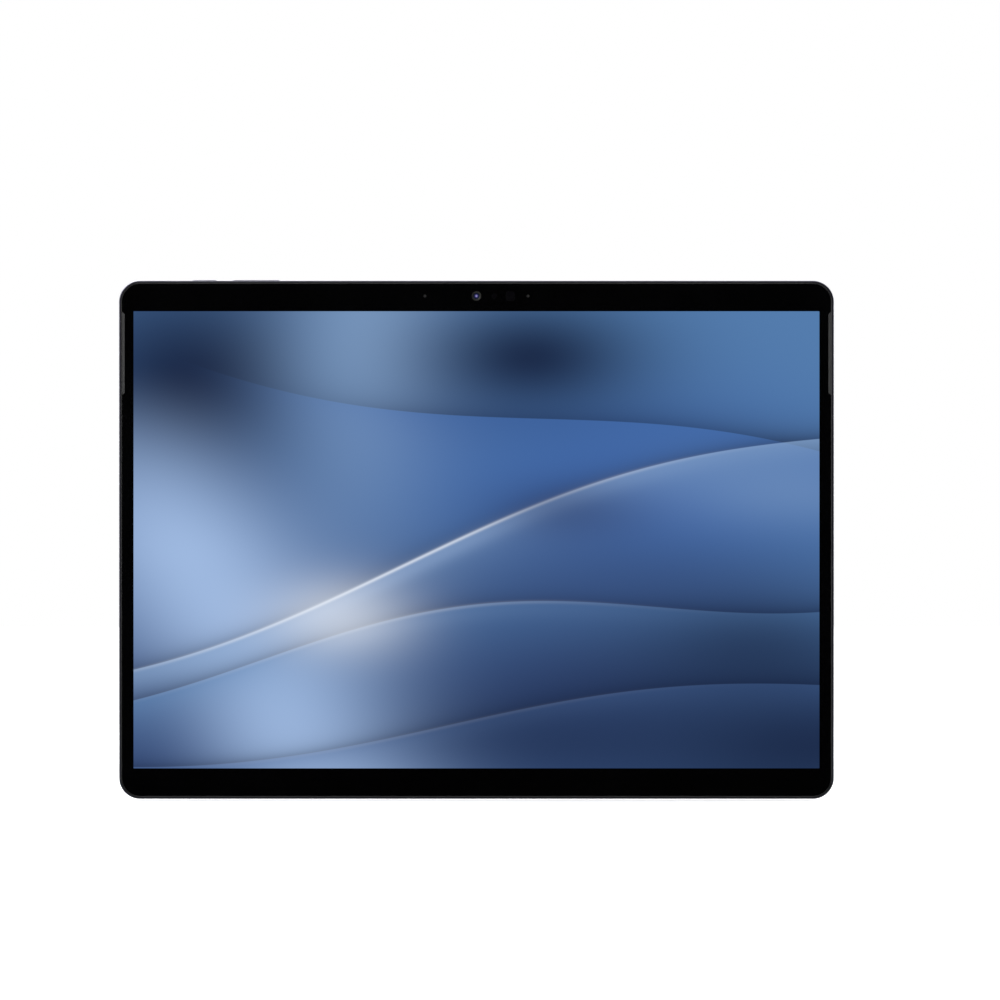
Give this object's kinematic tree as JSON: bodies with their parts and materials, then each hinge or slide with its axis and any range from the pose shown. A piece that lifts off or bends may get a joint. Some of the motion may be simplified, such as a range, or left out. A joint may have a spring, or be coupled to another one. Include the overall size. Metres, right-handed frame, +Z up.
{
  "type": "tablet computer",
  "caption": "Slim slab tablet with a black-bezelled screen, a lavender-grey aluminium back, a round rear camera ring, side speaker slots and top-edge keys.",
  "frame": {"origin": "centre of the flat bottom edge, at mid-depth of the body", "axes": "+X to the viewer's right along the width, +Y out of the back, +Z up the height; the screen faces -Y"},
  "size_m": [0.2856, 0.0102, 0.2074],
  "materials": {
    "housing_aluminium": "fine bead-blasted, anodised lavender grey",
    "key_aluminium": "anodised lavender grey, satin",
    "cover_glass": "polished glass printed black on its back round a clear window",
    "frame_plastic": "fine matte, dark grey",
    "foam_tape": "matte black foam",
    "display_panel": "lit display with a plain blue abstract picture",
    "magnesium": "cast, matte",
    "grille_mesh": "fine woven mesh, dark grey",
    "black_plastic": "moulded, matte",
    "chrome": "polished",
    "black_gloss": "gloss black",
    "satin_steel": "turned, satin",
    "lens_glass": "coated optical glass, violet and blue glints",
    "circuit_board": "solder-masked board",
    "flex_cable": "polyimide film",
    "steel": "stamped sheet or plated fastener",
    "light_guide": "clear light guide with white reflector film",
    "shield_can": "stamped, plated",
    "copper": "rolled copper sheet",
    "battery_foil": "laminated pouch film"
  },
  "bodies": {
    "tablet": {"antenna_left": "flex_cable", "antenna_right": "flex_cable", "backlight_unit": "light_guide", "battery_board": "circuit_board", "battery_cable": "flex_cable", "battery_cell_left": "battery_foil", "battery_cell_right": "battery_foil", "button_bracket": "steel", "button_bracket_screw_1": "steel", "button_bracket_screw_2": "steel", "button_cable": "flex_cable", "cover_glass": "cover_glass", "display_cable": "flex_cable", "display_tape": "foam_tape", "front_camera_module": "black_plastic", "front_sensor_board": "circuit_board", "front_sensor_cable": "flex_cable", "glass_frame": "frame_plastic", "heat_spreader": "copper", "lcd_panel": "display_panel", "light_sensor": "lens_glass", "main_board": "circuit_board", "main_board_screw_1": "steel", "main_board_screw_2": "steel", "main_board_screw_3": "steel", "main_board_screw_4": "steel", "memory_shield": "shield_can", "microphone_left": "steel", "microphone_right": "steel", "mid_frame": "magnesium", "mid_frame_screw_1": "steel", "mid_frame_screw_2": "steel", "mid_frame_screw_3": "steel", "mid_frame_screw_4": "steel", "port_board": "circuit_board", "port_cable": "flex_cable", "port_shell": "satin_steel", "port_tongue": "black_plastic", "power_shield": "shield_can", "power_switch": "steel", "processor_shield": "shield_can", "proximity_sensor": "lens_glass", "radio_shield": "shield_can", "rear_camera_bezel": "black_gloss", "rear_camera_cable": "flex_cable", "rear_camera_module": "black_plastic", "rear_camera_ring": "chrome", "rear_camera_trim": "satin_steel", "rear_camera_window": "lens_glass", "rear_housing": "housing_aluminium", "speaker_grille_left": "grille_mesh", "speaker_grille_right": "grille_mesh", "speaker_module_left": "black_plastic", "speaker_module_right": "black_plastic", "volume_down_switch": "steel", "volume_up_switch": "steel"},
    "power_key": {"power_button": "key_aluminium"},
    "volume_key": {"volume_rocker": "key_aluminium"}
  },
  "joints": [
    {"name": "power_press", "type": "slide", "parent": "tablet", "child": "power_key", "axis": [0, 0, -1], "range_m": [0, 0.00025], "stiffness_N_per_m": 4000, "springref_m": -0.0002},
    {"name": "volume_rock", "type": "hinge", "parent": "tablet", "child": "volume_key", "pos_m": [-0.0882, 0.00155, 0.20405], "axis": [0, 1, 0], "range_deg": [-1.3, 1.3], "stiffness_Nm_per_rad": 0.5}
  ]
}
